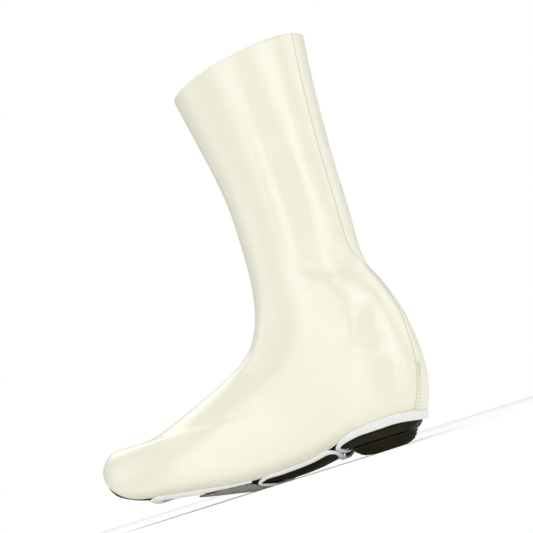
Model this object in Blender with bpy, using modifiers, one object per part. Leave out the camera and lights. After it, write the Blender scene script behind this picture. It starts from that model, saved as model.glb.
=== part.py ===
"""Rain overshoe for the right foot, standing empty on its sole.

A one-piece coated stretch upper is open at the collar and underneath. Pale elastic bindings edge the
openings of its underside, a web and a panel cross between them, and a stiff black sole with a heel pad
closes it from below. The tables are in millimetres, measured from the back of the heel, the middle of
the heel and the floor. The part is in metres: +X to the toe, +Y to the inner side of the foot, +Z up.
"""

import math
from collections import namedtuple

import bmesh
import bpy
import numpy as np
from mathutils import Vector

MM = 0.001

# The origin is on the floor, at the middle of the flat of the heel pad
ORIGIN_X = 46.5

# Upper: wall, points in each section and how far they move from the ends to the sides
WALL = 1.2
POINTS_AROUND = 56
CROWDING = 0.25

# Steps over which the directions of its surface are measured, and the distance at which points are welded
TURN_STEP = 0.01
KNOT_STEP = 0.5
WELD = 0.01

# One row for each section of the upper, from the lower edge to the collar. A section runs from its back
# point to its front point. Follow is the share of the lower edge's wave that it takes on. The last six
# are its half width at shares of its length: an oval has the same number in each. Steps are the loops
# from this section to the next.
Section = namedtuple(
    "Section", "name steps back_x back_z front_x front_z follow heel rear waist fore ball tip"
)
SECTIONS = (
    Section("edge", 1, 10.2, 21.4, 285.0, 42.5, 1.00, 61.0, 40.5, 35.5, 46.0, 56.5, 64.0),
    Section("welt", 1, 5.8, 32.0, 286.0, 48.5, 0.80, 65.5, 43.5, 38.3, 50.0, 61.0, 66.0),
    Section("toe_wall", 1, 3.0, 42.0, 283.9, 56.8, 0.50, 66.0, 44.0, 38.8, 49.0, 59.5, 62.0),
    Section("toe_top", 2, 1.7, 50.0, 274.8, 66.6, 0.25, 64.0, 43.7, 38.3, 45.5, 51.0, 50.0),
    Section("toe_box", 2, 0.9, 58.0, 248.0, 67.0, 0.10, 61.0, 43.0, 37.8, 42.0, 48.0, 48.0),
    Section("ball", 2, 0.8, 68.0, 215.0, 73.2, 0.03, 56.0, 42.0, 37.2, 39.3, 44.6, 49.0),
    Section("vamp", 2, 1.4, 79.0, 184.0, 84.0, 0.00, 50.0, 40.6, 37.2, 38.3, 39.0, 43.0),
    Section("waist", 2, 2.7, 91.5, 156.4, 94.8, 0.00, 44.6, 39.4, 36.8, 38.3, 37.5, 43.0),
    Section("instep", 1, 5.1, 104.5, 138.2, 105.2, 0.00, 40.0, 38.0, 36.6, 38.3, 38.5, 45.0),
    Section("throat", 1, 9.2, 118.0, 126.8, 117.8, 0.00, 35.4, 37.0, 36.5, 38.0, 38.5, 45.5),
    Section("counter", 2, 14.3, 131.5, 120.2, 133.0, 0.00, 31.0, 35.4, 36.5, 38.0, 38.5, 42.5),
    Section("achilles", 2, 20.3, 145.0, 116.4, 149.0, 0.00, 28.4, 34.5, 36.5, 38.0, 38.5, 40.5),
    Section("ankle", 2, 22.6, 159.0, 114.4, 165.0, 0.00, 32.0, 36.2, 37.5, 38.5, 39.0, 39.5),
    Section("shin_low", 2, 22.0, 185.0, 113.6, 188.0, 0.00, 38.5, 38.5, 38.5, 38.5, 38.5, 38.5),
    Section("shin", 2, 21.3, 225.0, 114.0, 224.0, 0.00, 40.0, 40.0, 40.0, 40.0, 40.0, 40.0),
    Section("calf", 2, 19.6, 272.0, 120.0, 266.0, 0.00, 44.0, 44.0, 44.0, 44.0, 44.0, 44.0),
    Section("calf_top", 1, 16.2, 317.0, 127.2, 304.0, 0.00, 49.5, 49.5, 49.5, 49.5, 49.5, 49.5),
    Section("collar", 0, 14.0, 337.0, 130.0, 319.0, 0.00, 52.0, 52.0, 52.0, 52.0, 52.0, 52.0),
)
WIDTH_SHARES = (0.0, 0.2, 0.4, 0.6, 0.8, 1.0)

# Height of the upper's lower edge along the shoe
Edge = namedtuple("Edge", "place x z")
EDGE = (
    Edge("heel_back", 10.2, 21.4),
    Edge("heel", 26.0, 24.2),
    Edge("heel_side", 45.0, 23.8),
    Edge("heel_front", 66.0, 20.8),
    Edge("arch_back", 80.0, 16.2),
    Edge("arch", 98.0, 11.6),
    Edge("waist", 125.0, 9.2),
    Edge("ball", 152.0, 8.9),
    Edge("forefoot", 190.0, 13.6),
    Edge("toe_side", 232.0, 19.4),
    Edge("toe", 262.0, 26.8),
    Edge("tip", 285.0, 42.5),
)

# The last's swing to the inner side along the shoe, fading out between two heights
Swing = namedtuple("Swing", "place x y")
SWING = (
    Swing("heel_back", 0.0, 0.0),
    Swing("heel_front", 60.0, 0.0),
    Swing("waist", 115.0, -2.5),
    Swing("ball", 195.0, -2.0),
    Swing("toe", 250.0, 2.0),
    Swing("tip", 284.5, 5.0),
)
SWING_FADE_LOW = 60.0
SWING_FADE_HIGH = 130.0

# Tape over the back seam
TAPE_COLUMNS = 6
TAPE_STEPS = 2
TAPE_THICKNESS = 0.7
TAPE_GAP = 0.45

# Edges of the tape across the shoe, at heights of the back line: it leans to the outer side where the
# upper sinks in at the tendon
Tape = namedtuple("Tape", "place z inner_y outer_y")
TAPE = (
    Tape("heel_edge", 21.4, 17.4, -13.0),
    Tape("heel", 48.0, 14.3, -13.0),
    Tape("heel_top", 73.0, 9.4, -14.5),
    Tape("counter", 92.0, 6.6, -16.0),
    Tape("tendon_low", 108.0, 0.5, -18.0),
    Tape("tendon", 126.0, -3.0, -19.0),
    Tape("tendon_high", 141.0, -1.0, -18.5),
    Tape("ankle", 156.0, 9.5, -15.0),
    Tape("shin_low", 172.0, 13.4, -14.0),
    Tape("shin", 225.0, 14.4, -14.4),
    Tape("collar", 337.0, 14.6, -14.6),
)

# Elastic bindings: thickness, gap to the upper, how far they stand proud of it, points of the section
BINDING_THICKNESS = 2.0
BINDING_GAP = 0.5
BINDING_PROUD = 0.4
BINDING_POINTS = 8
BINDING_SQUARE = 0.7
BINDING_SMOOTH = 2

# Stations of a binding round the heel, along one side of the midfoot and of the forefoot, and across
HEEL_RUN = 19
MIDFOOT_RUN = 6
FOREFOOT_RUN = 9
CROSSING_SHARES = (0.0, 0.33, 0.67, 1.0)

# Width of a binding beside the sole and its lean under it, along the shoe
Band = namedtuple("Band", "place x width lean_deg")
BAND = (
    Band("heel_back", 10.2, 8.0, 10.0),
    Band("heel_side", 45.0, 7.5, 14.0),
    Band("heel_front", 72.0, 5.0, 28.0),
    Band("arch", 96.0, 4.2, 40.0),
    Band("ball_rear", 138.0, 3.8, 48.0),
    Band("ball", 156.0, 1.6, 48.0),
    Band("ball_front", 172.0, 2.8, 48.0),
    Band("forefoot", 200.0, 6.0, 48.0),
    Band("toe", 232.0, 6.0, 50.0),
)

# Where the bindings cross under the sole: place, lowest height and width there, place and width where they
# turn under it, reach from the sole's edge
Crossing = namedtuple("Crossing", "x low width corner_x corner_width reach")
HEEL_CROSSING = Crossing(78.8, 8.3, 6.0, 80.6, 4.4, 14.0)
ARCH_CROSSING = Crossing(84.6, 3.6, 6.0, 82.8, 4.0, 22.0)
BALL_CROSSING = Crossing(139.5, 0.2, 5.0, 148.0, 3.0, 14.0)
TOE_CROSSING = Crossing(236.0, 13.8, 6.5, 237.8, 6.0, 13.0)
CORNER_INSET = 5.0
CORNER_RISE = 0.50
CORNER_RUN = 6.8

# Slants of a binding at such a corner: its width inward and down, its face outward
CORNER_TUCK = 0.8
CORNER_DIP = 0.25
CORNER_FLARE = 0.5

# The binding of the forefoot starts here on each side, in front of the ball's corner
FOREFOOT_REAR = 153.0

# Web between the heel and arch openings, with the inset and narrowing of each step from an end to the middle
Web = namedtuple("Web", "rear_x front_x low thickness steps")
WebStep = namedtuple("WebStep", "inset trim")
ARCH_WEB = Web(80.2, 83.6, 6.0, 1.9, (WebStep(23.5, 0.5), WebStep(26.0, 0.0)))

# Panel under the ball: one row for each section, with its lowest height and the inset and rise of its edge.
# It is flat to the floor at the ball and curves up from the knee to its edges.
Panel = namedtuple("Panel", "place x low inset rise")
PANEL = (
    Panel("rear", 143.0, 0.0, 13.5, 0.0),
    Panel("ball_rear", 147.0, 0.0, 10.5, 0.7),
    Panel("ball", 152.0, 0.0, 5.2, 4.8),
    Panel("ball_front", 158.0, 1.0, 4.7, 5.2),
    Panel("tread_rear", 166.0, 2.6, 4.7, 4.8),
    Panel("tread", 174.0, 4.1, 4.7, 4.2),
    Panel("tread_front", 187.0, 6.5, 6.5, 1.2),
    Panel("front", 200.0, 9.0, 13.0, 0.0),
)
PANEL_THICKNESS = 1.6
PANEL_KNEE = 8.5
PANEL_KNEE_ROOM = 1.0
PANEL_KNEE_RISE = 0.2
PANEL_FLAT = 15.0

# Sole: its flange inside the upper, and the height of its underside along the shoe. The underside is
# recessed where bindings and webs cross it. Inset is the shoulder's distance from the upper's edge.
FLANGE_INSET = 2.4
FLANGE_RISE = 4.0
FLANGE_LIFT = 0.4
SHOULDER_DROP = 0.4
SIDE_RISE = 1.0
SIDE_DROP = 0.1
UNDER_SHARES = (0.2, 0.5, 0.8)
SOLE_STEP = 12.0
Belly = namedtuple("Belly", "place x z shoulder_inset side_inset")
BELLY = (
    Belly("heel_back", 10.2, 15.0, 5.0, 5.6),
    Belly("heel_bevel", 13.5, 12.6, 5.2, 5.5),
    Belly("heel_rear", 19.5, 9.35, 5.2, 5.5),
    Belly("heel_front", 75.0, 9.35, 5.2, 5.5),
    Belly("strap_heel", 76.0, 11.2, 5.2, 9.5),
    Belly("strap_arch", 89.0, 11.0, 5.2, 9.5),
    Belly("arch", 91.5, 5.4, 5.2, 9.5),
    Belly("arch_front", 109.0, 2.4, 5.2, 9.5),
    Belly("waist", 127.0, 1.0, 5.2, 9.5),
    Belly("strap_waist", 134.5, 2.7, 5.2, 9.5),
    Belly("ball_rear", 144.0, 3.7, 5.2, 9.5),
    Belly("ball", 153.0, 2.5, 5.2, 9.5),
    Belly("ball_front", 158.0, 3.1, 5.2, 9.5),
    Belly("tread", 174.0, 6.2, 5.2, 9.5),
    Belly("tread_front", 200.0, 11.1, 5.2, 9.5),
    Belly("forefoot", 216.0, 14.0, 5.2, 9.5),
    Belly("strap_rear", 229.0, 16.6, 5.2, 9.5),
    Belly("strap_front", 241.0, 17.0, 5.2, 9.0),
    Belly("toe_rear", 250.0, 20.0, 0.7, 3.5),
    Belly("toe", 262.0, 24.0, 0.7, 3.0),
    Belly("toe_spring", 272.0, 28.2, 0.6, 2.2),
    Belly("toe_front", 279.5, 33.2, 0.5, 1.8),
    Belly("tip", 285.0, 38.0, 0.2, 1.2),
)

# Heel pad: one row for each level of its side, with the grooves between its ribs
Pad = namedtuple("Pad", "level z back_x front_x half_width")
PAD = (
    Pad("floor", 0.0, 35.0, 58.0, 21.5),
    Pad("bevel", 1.4, 30.0, 65.5, 25.0),
    Pad("rib_1_low", 3.0, 26.8, 69.0, 26.0),
    Pad("groove_1", 3.5, 27.0, 69.3, 25.5),
    Pad("groove_1_top", 4.1, 26.5, 70.0, 25.5),
    Pad("rib_2_low", 4.6, 25.5, 71.0, 26.1),
    Pad("rib_2_high", 6.1, 24.4, 72.6, 26.2),
    Pad("groove_2", 6.6, 24.6, 72.7, 25.7),
    Pad("groove_2_top", 7.2, 24.2, 73.2, 25.7),
    Pad("rib_3_low", 7.7, 23.3, 74.2, 26.2),
    Pad("top", 9.0, 22.5, 74.8, 26.0),
)
PAD_POINTS = 28
PAD_SQUARE_BACK = 1.0
PAD_SQUARE_FRONT = 0.45
PAD_SQUARE_WIDE = 0.8


def natural_spline(knots, values):
    """Smooth curve through the rows of a table, as a function of the knot."""
    knots = np.asarray(knots, float)
    values = np.asarray(values, float)
    gaps = np.diff(knots)
    count = len(knots)
    matrix = np.eye(count)
    right = np.zeros_like(values)
    for i in range(1, count - 1):
        matrix[i, i - 1:i + 2] = gaps[i - 1], 2 * (gaps[i - 1] + gaps[i]), gaps[i]
        right[i] = 6 * (values[i + 1] - values[i]) / gaps[i] - 6 * (values[i] - values[i - 1]) / gaps[i - 1]
    bends = np.linalg.solve(matrix, right)

    def at(knot):
        i = np.clip(np.searchsorted(knots, knot) - 1, 0, count - 2)
        high = (knot - knots[i]) / gaps[i]
        low = 1 - high
        curve = (low ** 3 - low) * bends[i] + (high ** 3 - high) * bends[i + 1]
        return low * values[i] + high * values[i + 1] + curve * gaps[i] ** 2 / 6

    return at


def section_knots():
    """Distance of each section from the lower edge, the mean of its back and front lines."""
    knots = [0.0]
    for low, high in zip(SECTIONS, SECTIONS[1:]):
        back = math.hypot(high.back_x - low.back_x, high.back_z - low.back_z)
        front = math.hypot(high.front_x - low.front_x, high.front_z - low.front_z)
        knots.append(knots[-1] + (back + front) / 2)
    return knots


KNOTS = section_knots()
SECTION_AT = natural_spline(KNOTS, [row[2:] for row in SECTIONS])
TAPE_EDGES = natural_spline([row.z for row in TAPE], [row[2:] for row in TAPE])
EDGE_HEIGHT = natural_spline([row.x for row in EDGE], [row.z for row in EDGE])
SWING_AT = natural_spline([row.x for row in SWING], [row.y for row in SWING])


def edge_wave(x):
    """Height of the lower edge above the straight line between its ends."""
    rear, tip = EDGE[0], EDGE[-1]
    x = np.clip(x, rear.x, tip.x)
    straight = rear.z + (tip.z - rear.z) * (x - rear.x) / (tip.x - rear.x)
    return EDGE_HEIGHT(x) - straight


def swing(x, z):
    """Sideways place of the last's middle."""
    fade = np.clip((SWING_FADE_HIGH - z) / (SWING_FADE_HIGH - SWING_FADE_LOW), 0, 1)
    return SWING_AT(np.clip(x, SWING[0].x, SWING[-1].x)) * fade * fade * (3 - 2 * fade)


def upper_loop(knot, turns):
    """Points around the upper's outer surface. A turn runs from the toe round by the inner side."""
    back_x, back_z, front_x, front_z, follow, *widths = SECTION_AT(knot)
    turns = np.asarray(turns, float)
    share = (1 + np.cos(turns)) / 2
    x = back_x + share * (front_x - back_x)
    z = back_z + share * (front_z - back_z) + follow * edge_wave(x)
    half_width = natural_spline(WIDTH_SHARES, widths)(share) * np.sin(turns)
    return np.stack([x, swing(x, z) + half_width, z], axis=-1)


def upper_normals(knot, turns):
    """Outward directions of the upper's surface at the points of a loop."""
    turns = np.asarray(turns, float)
    along = upper_loop(knot, turns + TURN_STEP) - upper_loop(knot, turns - TURN_STEP)
    low = max(knot - KNOT_STEP, 0.0)
    high = min(knot + KNOT_STEP, KNOTS[-1])
    up = upper_loop(high, turns) - upper_loop(low, turns)
    normals = np.cross(along, up)
    return normals / np.linalg.norm(normals, axis=-1, keepdims=True)


def spread_turns(count):
    """Turns of a loop's points, moved from its two ends towards its sides."""
    turns = np.arange(count) / count * math.tau
    return turns + CROWDING * np.sin(2 * turns)


def loop_knots(finer=1):
    """Knots of the loops that the sections and their steps ask for, or of loops that much finer."""
    knots = []
    for i, row in enumerate(SECTIONS[:-1]):
        knots.extend(np.linspace(KNOTS[i], KNOTS[i + 1], row.steps * finer, endpoint=False))
    return knots + [KNOTS[-1]]


def edge_turn(x):
    """Turn of the lower edge's point at a place along the shoe, on the inner side."""
    share = (x - SECTIONS[0].back_x) / (SECTIONS[0].front_x - SECTIONS[0].back_x)
    return math.acos(max(-1.0, min(1.0, 2 * share - 1)))


def edge_frame(turn):
    """Point of the upper's lower edge and its level outward direction."""
    before, point, after = upper_loop(0.0, [turn - TURN_STEP, turn, turn + TURN_STEP])
    along = after - before
    return Vector(point), Vector((along[1], -along[0], 0.0)).normalized()


def inset_point(x, side, inset, z):
    """Point inside the lower edge at one side: 1 is the inner side of the foot, -1 the outer."""
    point, outward = edge_frame(side * edge_turn(x))
    inside = point - outward * inset
    return Vector((inside.x, inside.y, z))


def placed(point):
    """A point of the tables in the part's own frame, in metres."""
    return ((point[0] - ORIGIN_X) * MM, point[1] * MM, point[2] * MM)


def make_material(name, rgb, roughness):
    material = bpy.data.materials.new(name)
    material.use_nodes = True
    shader = next(node for node in material.node_tree.nodes if node.type == "BSDF_PRINCIPLED")
    shader.inputs["Base Color"].default_value = (*rgb, 1.0)
    shader.inputs["Roughness"].default_value = roughness
    material.diffuse_color = (*rgb, 1.0)
    return material


def make_object(name, points, faces, material, collection, closed=True):
    """Mesh object from points of the tables, with its faces turned outward where it is closed."""
    mesh = bpy.data.meshes.new(name)
    mesh.from_pydata([placed(point) for point in points], [], faces)
    shape = bmesh.new()
    shape.from_mesh(mesh)
    bmesh.ops.remove_doubles(shape, verts=shape.verts, dist=WELD * MM)
    if closed:
        bmesh.ops.recalc_face_normals(shape, faces=shape.faces)
    shape.to_mesh(mesh)
    shape.free()
    mesh.materials.append(material)
    made = bpy.data.objects.new(name, mesh)
    collection.objects.link(made)
    return made


def loft_faces(rows, columns, rows_close, columns_close):
    """Quads between the rows of a grid of points, with either direction closed on itself."""
    faces = []
    for i in range(rows if rows_close else rows - 1):
        for k in range(columns if columns_close else columns - 1):
            right = (k + 1) % columns
            above = (i + 1) % rows
            faces.append((i * columns + k, i * columns + right, above * columns + right, above * columns + k))
    return faces


def add_wall(made, thickness, side):
    """Wall of even thickness on an open surface: side -1 is inward, 1 outward."""
    wall = made.modifiers.new("wall", "SOLIDIFY")
    wall.thickness = thickness * MM
    wall.offset = side
    wall.use_even_offset = True
    wall.use_rim = True


def build_upper(material, collection):
    turns = spread_turns(POINTS_AROUND)
    knots = loop_knots()
    points = [point for knot in knots for point in upper_loop(knot, turns)]
    faces = loft_faces(len(knots), POINTS_AROUND, False, True)
    upper = make_object("upper", points, faces, material, collection, closed=False)
    add_wall(upper, WALL, -1)


def build_back_tape(material, collection):
    knots = loop_knots(TAPE_STEPS)
    points = []
    for knot in knots:
        section = SECTION_AT(knot)
        back_z, heel_width = section[1], section[5]
        places = np.linspace(*TAPE_EDGES(back_z), TAPE_COLUMNS)
        turns = math.pi - np.arcsin(places / heel_width)
        points.extend(upper_loop(knot, turns) + TAPE_GAP * upper_normals(knot, turns))
    faces = loft_faces(len(knots), TAPE_COLUMNS, False, False)
    tape = make_object("back_tape", points, faces, material, collection, closed=False)
    add_wall(tape, TAPE_THICKNESS, 1)


# A station of a binding: its middle, the half width towards the opening, the half thickness outward
Station = namedtuple("Station", "middle across out")


def side_station(turn):
    """Station of a binding that hangs from the upper's lower edge beside the sole."""
    edge, outward = edge_frame(turn)
    places = [row.x for row in BAND]
    width = float(np.interp(edge.x, places, [row.width for row in BAND]))
    lean = math.radians(float(np.interp(edge.x, places, [row.lean_deg for row in BAND])))
    across = -outward * math.sin(lean) - Vector((0, 0, 1)) * math.cos(lean)
    out = outward * math.cos(lean) - Vector((0, 0, 1)) * math.sin(lean)
    half_height = math.hypot(width / 2 * math.cos(lean), BINDING_THICKNESS / 2 * math.sin(lean))
    half_depth = math.hypot(width / 2 * math.sin(lean), BINDING_THICKNESS / 2 * math.cos(lean))
    middle = edge + outward * (BINDING_PROUD - half_depth)
    middle.z -= BINDING_GAP + half_height
    return Station(middle, across * width / 2, out * BINDING_THICKNESS / 2)


def corner_station(crossing, side, inward):
    """Station where a binding turns under the sole: inward is the opening's direction along the shoe."""
    edge, outward = edge_frame(side * edge_turn(crossing.corner_x))
    level = crossing.low + BINDING_THICKNESS / 2
    middle = edge - outward * CORNER_INSET
    middle.z = level + (edge.z - level) * CORNER_RISE
    across = (Vector((inward, 0, -CORNER_DIP)) - outward * CORNER_TUCK).normalized()
    out = (outward * CORNER_FLARE - Vector((0, 0, 1))).normalized()
    out = (out - across * out.dot(across)).normalized()
    return Station(middle, across * crossing.corner_width / 2, out * BINDING_THICKNESS / 2)


def crossing_stations(crossing, inward, first_side):
    """Stations of a binding across the underside, from one side to the other."""
    ends = []
    for side in (first_side, -first_side):
        ends.append(inset_point(crossing.x, side, crossing.reach, crossing.low + BINDING_THICKNESS / 2))
    across = Vector((inward * crossing.width / 2, 0, 0))
    out = Vector((0, 0, -BINDING_THICKNESS / 2))
    return [Station(ends[0].lerp(ends[1], share), across, out) for share in CROSSING_SHARES]


def smooth_stations(stations, closed):
    """A run of stations with smooth ones between them, closed on itself or with two ends."""
    count = len(stations)
    smoothed = []
    for i in range(count if closed else count - 1):
        around = [i - 1, i, i + 1, i + 2]
        around = [k % count if closed else min(max(k, 0), count - 1) for k in around]
        before, start, end, after = (stations[k] for k in around)
        for step in range(BINDING_SMOOTH):
            t = step / BINDING_SMOOTH
            parts = []
            for a, b, c, d in zip(before, start, end, after):
                parts.append(b + 0.5 * t * ((c - a) + t * ((2 * a - 5 * b + 4 * c - d)
                                                           + t * (3 * (b - c) + d - a))))
            smoothed.append(Station(*parts))
    return smoothed if closed else smoothed + [stations[-1]]


def build_binding(name, stations, material, collection, closed=True):
    """Soft flat tube through a run of stations, closed on itself or with two flat ends."""
    points = []
    stations = smooth_stations(stations, closed)
    for station in stations:
        for k in range(BINDING_POINTS):
            angle = math.tau * (k + 0.5) / BINDING_POINTS
            wide = math.copysign(abs(math.cos(angle)) ** BINDING_SQUARE, math.cos(angle))
            thick = math.copysign(abs(math.sin(angle)) ** BINDING_SQUARE, math.sin(angle))
            points.append(station.middle + station.across * wide + station.out * thick)
    faces = loft_faces(len(stations), BINDING_POINTS, closed, True)
    if not closed:
        faces.append(tuple(range(BINDING_POINTS)))
        faces.append(tuple(range(len(points) - BINDING_POINTS, len(points))))
    make_object(name, points, faces, material, collection)


def build_heel_binding(material, collection):
    front = edge_turn(HEEL_CROSSING.corner_x - CORNER_RUN)
    stations = [side_station(turn) for turn in np.linspace(front, math.tau - front, HEEL_RUN)]
    stations.append(corner_station(HEEL_CROSSING, -1, -1))
    stations.extend(crossing_stations(HEEL_CROSSING, -1, -1))
    stations.append(corner_station(HEEL_CROSSING, 1, -1))
    build_binding("heel_binding", stations, material, collection)


def front_run(rear_x, front, runs):
    """Stations along the inner side, across the front of an opening and back along the outer side."""
    places = np.linspace(rear_x, front.corner_x - CORNER_RUN, runs)
    stations = [side_station(edge_turn(x)) for x in places]
    stations.append(corner_station(front, 1, -1))
    stations.extend(crossing_stations(front, -1, 1))
    stations.append(corner_station(front, -1, -1))
    stations.extend(side_station(-edge_turn(x)) for x in reversed(places))
    return stations


def build_midfoot_binding(material, collection):
    stations = front_run(ARCH_CROSSING.corner_x + CORNER_RUN, BALL_CROSSING, MIDFOOT_RUN)
    stations.append(corner_station(ARCH_CROSSING, -1, 1))
    stations.extend(crossing_stations(ARCH_CROSSING, 1, -1))
    stations.append(corner_station(ARCH_CROSSING, 1, 1))
    build_binding("midfoot_binding", stations, material, collection)


def build_forefoot_binding(material, collection):
    stations = front_run(FOREFOOT_REAR, TOE_CROSSING, FOREFOOT_RUN)
    build_binding("forefoot_binding", stations, material, collection, closed=False)


def build_web(name, web, material, collection):
    """Flat web under the sole, from its inner end to its outer one, as sections of four corners."""
    rows = [(1, step) for step in web.steps] + [(-1, step) for step in reversed(web.steps)]
    points = []
    for side, step in rows:
        high = web.low + web.thickness
        rear = web.rear_x + step.trim
        front = web.front_x - step.trim
        for x, z in ((rear, web.low), (front, web.low), (front, high), (rear, high)):
            points.append(inset_point(x, side, step.inset, z))
    faces = loft_faces(len(rows), 4, False, True)
    faces.append((0, 1, 2, 3))
    faces.append(tuple(range(len(points) - 4, len(points))))
    make_object(name, points, faces, material, collection)


def build_ball_panel(material, collection):
    """Curved panel as sections across the shoe: the lower run from the inner edge, the upper run back."""
    points = []
    for row in PANEL:
        knee = max(PANEL_KNEE, row.inset + PANEL_KNEE_ROOM)
        steps = [(row.inset, row.rise), (knee, row.rise * PANEL_KNEE_RISE), (PANEL_FLAT, 0.0)]
        lower = [inset_point(row.x, 1, inset, row.low + rise) for inset, rise in steps]
        lower.extend(inset_point(row.x, -1, inset, row.low + rise) for inset, rise in reversed(steps))
        points.extend(lower)
        points.extend(point + Vector((0, 0, PANEL_THICKNESS)) for point in reversed(lower))
    count = len(points) // len(PANEL)
    faces = loft_faces(len(PANEL), count, False, True)
    faces.append(tuple(range(count)))
    faces.append(tuple(range(len(points) - count, len(points))))
    make_object("ball_panel", points, faces, material, collection)


def sole_stations():
    """Rows of the underside's table with even steps between them."""
    stations = []
    for rear, front in zip(BELLY, BELLY[1:]):
        steps = max(1, math.ceil((front.x - rear.x) / SOLE_STEP))
        for step in range(steps):
            share = step / steps
            stations.append([a + (b - a) * share for a, b in zip(rear[1:], front[1:])])
    return stations + [list(BELLY[-1][1:])]


def build_sole(material, collection):
    """Sole as sections across the shoe: flange, shoulder, side and underside, then the top's middle."""
    points = []
    stations = sole_stations()
    for x, low, shoulder_inset, side_inset in stations:
        sides = []
        edge_z = float(EDGE_HEIGHT(x))
        side_z = min(low + SIDE_RISE, edge_z - SHOULDER_DROP - SIDE_DROP)
        for side in (1, -1):
            sides.append([
                inset_point(x, side, FLANGE_INSET, edge_z + FLANGE_RISE),
                inset_point(x, side, FLANGE_INSET, edge_z + FLANGE_LIFT),
                inset_point(x, side, shoulder_inset, edge_z - SHOULDER_DROP),
                inset_point(x, side, side_inset, side_z),
            ])
        inner, outer = sides
        under = [inner[3].lerp(outer[3], share) for share in UNDER_SHARES]
        for point in under:
            point.z = low
        points.extend(inner + under + outer[::-1] + [inner[0].lerp(outer[0], 0.5)])
    count = len(points) // len(stations)
    make_object("sole_plate", points, loft_faces(len(stations), count, False, True), material, collection)


def build_heel_pad(material, collection):
    points = []
    for row in PAD:
        middle = (row.back_x + row.front_x) / 2
        for k in range(PAD_POINTS):
            angle = math.tau * k / PAD_POINTS
            square = PAD_SQUARE_FRONT if math.cos(angle) > 0 else PAD_SQUARE_BACK
            long = math.copysign(abs(math.cos(angle)) ** square, math.cos(angle))
            wide = math.copysign(abs(math.sin(angle)) ** PAD_SQUARE_WIDE, math.sin(angle))
            points.append((middle + long * (row.front_x - middle), wide * row.half_width, row.z))
    faces = loft_faces(len(PAD), PAD_POINTS, False, True)
    faces.append(tuple(range(PAD_POINTS)))
    faces.append(tuple(range((len(PAD) - 1) * PAD_POINTS, len(PAD) * PAD_POINTS)))
    make_object("heel_pad", points, faces, material, collection)


def main():
    for old in list(bpy.data.objects):
        bpy.data.objects.remove(old)
    collection = bpy.data.collections.new("rain_overshoe")
    bpy.context.scene.collection.children.link(collection)
    build_upper(make_material("coated_stretch_fabric", (0.88, 0.87, 0.73), 0.40), collection)
    build_back_tape(make_material("seam_tape", (0.88, 0.87, 0.75), 0.45), collection)
    elastic = (0.78, 0.78, 0.81)
    build_heel_binding(make_material("heel_elastic", elastic, 0.70), collection)
    build_midfoot_binding(make_material("midfoot_elastic", elastic, 0.70), collection)
    build_forefoot_binding(make_material("forefoot_elastic", elastic, 0.70), collection)
    black = (0.02, 0.02, 0.015)
    grey = (0.30, 0.30, 0.28)
    build_web("arch_web", ARCH_WEB, make_material("arch_webbing", black, 0.80), collection)
    build_ball_panel(make_material("ball_webbing", grey, 0.80), collection)
    build_sole(make_material("sole_plastic", black, 0.45), collection)
    build_heel_pad(make_material("heel_rubber", black, 0.65), collection)


main()
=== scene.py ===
"""Looks of the rain overshoe: the coated upper with its folds, the taped back seam, the elastic
bindings, the web and panel of the underside and the black sole.

The tables are in millimetres, measured from the back of the heel, the middle of the heel and the
floor. The scene is in metres: +X to the toe, +Y to the inner side of the foot, +Z up.
"""

import math
from collections import namedtuple

import bmesh
import bpy
import numpy as np
from mathutils import Matrix, Vector


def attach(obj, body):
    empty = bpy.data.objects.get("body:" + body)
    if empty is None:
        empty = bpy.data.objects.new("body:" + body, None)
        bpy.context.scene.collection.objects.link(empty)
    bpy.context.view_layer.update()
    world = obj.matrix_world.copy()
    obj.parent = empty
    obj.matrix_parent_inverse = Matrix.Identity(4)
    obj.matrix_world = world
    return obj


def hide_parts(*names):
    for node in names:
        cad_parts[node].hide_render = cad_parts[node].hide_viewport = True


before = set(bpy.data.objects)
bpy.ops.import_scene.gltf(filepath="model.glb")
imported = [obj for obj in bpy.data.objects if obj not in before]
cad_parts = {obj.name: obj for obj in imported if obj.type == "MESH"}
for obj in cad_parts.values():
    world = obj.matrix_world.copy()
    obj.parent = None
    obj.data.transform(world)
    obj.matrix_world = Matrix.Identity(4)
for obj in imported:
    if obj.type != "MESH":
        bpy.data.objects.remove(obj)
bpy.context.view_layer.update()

MM = 0.001
ORIGIN_X = 46.5

# Camera: a little behind the inner side, low over the floor, turned so that the toe hangs down
CAMERA_TARGET = (0.0533, 0.0, 0.1695)
CAMERA_AZIMUTH = 198.0
CAMERA_DISTANCE = 1.45
CAMERA_HEIGHT = 0.012
CAMERA_LENS = 122.1
CAMERA_SENSOR = 36.0
CAMERA_ROLL = -17.6

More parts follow.
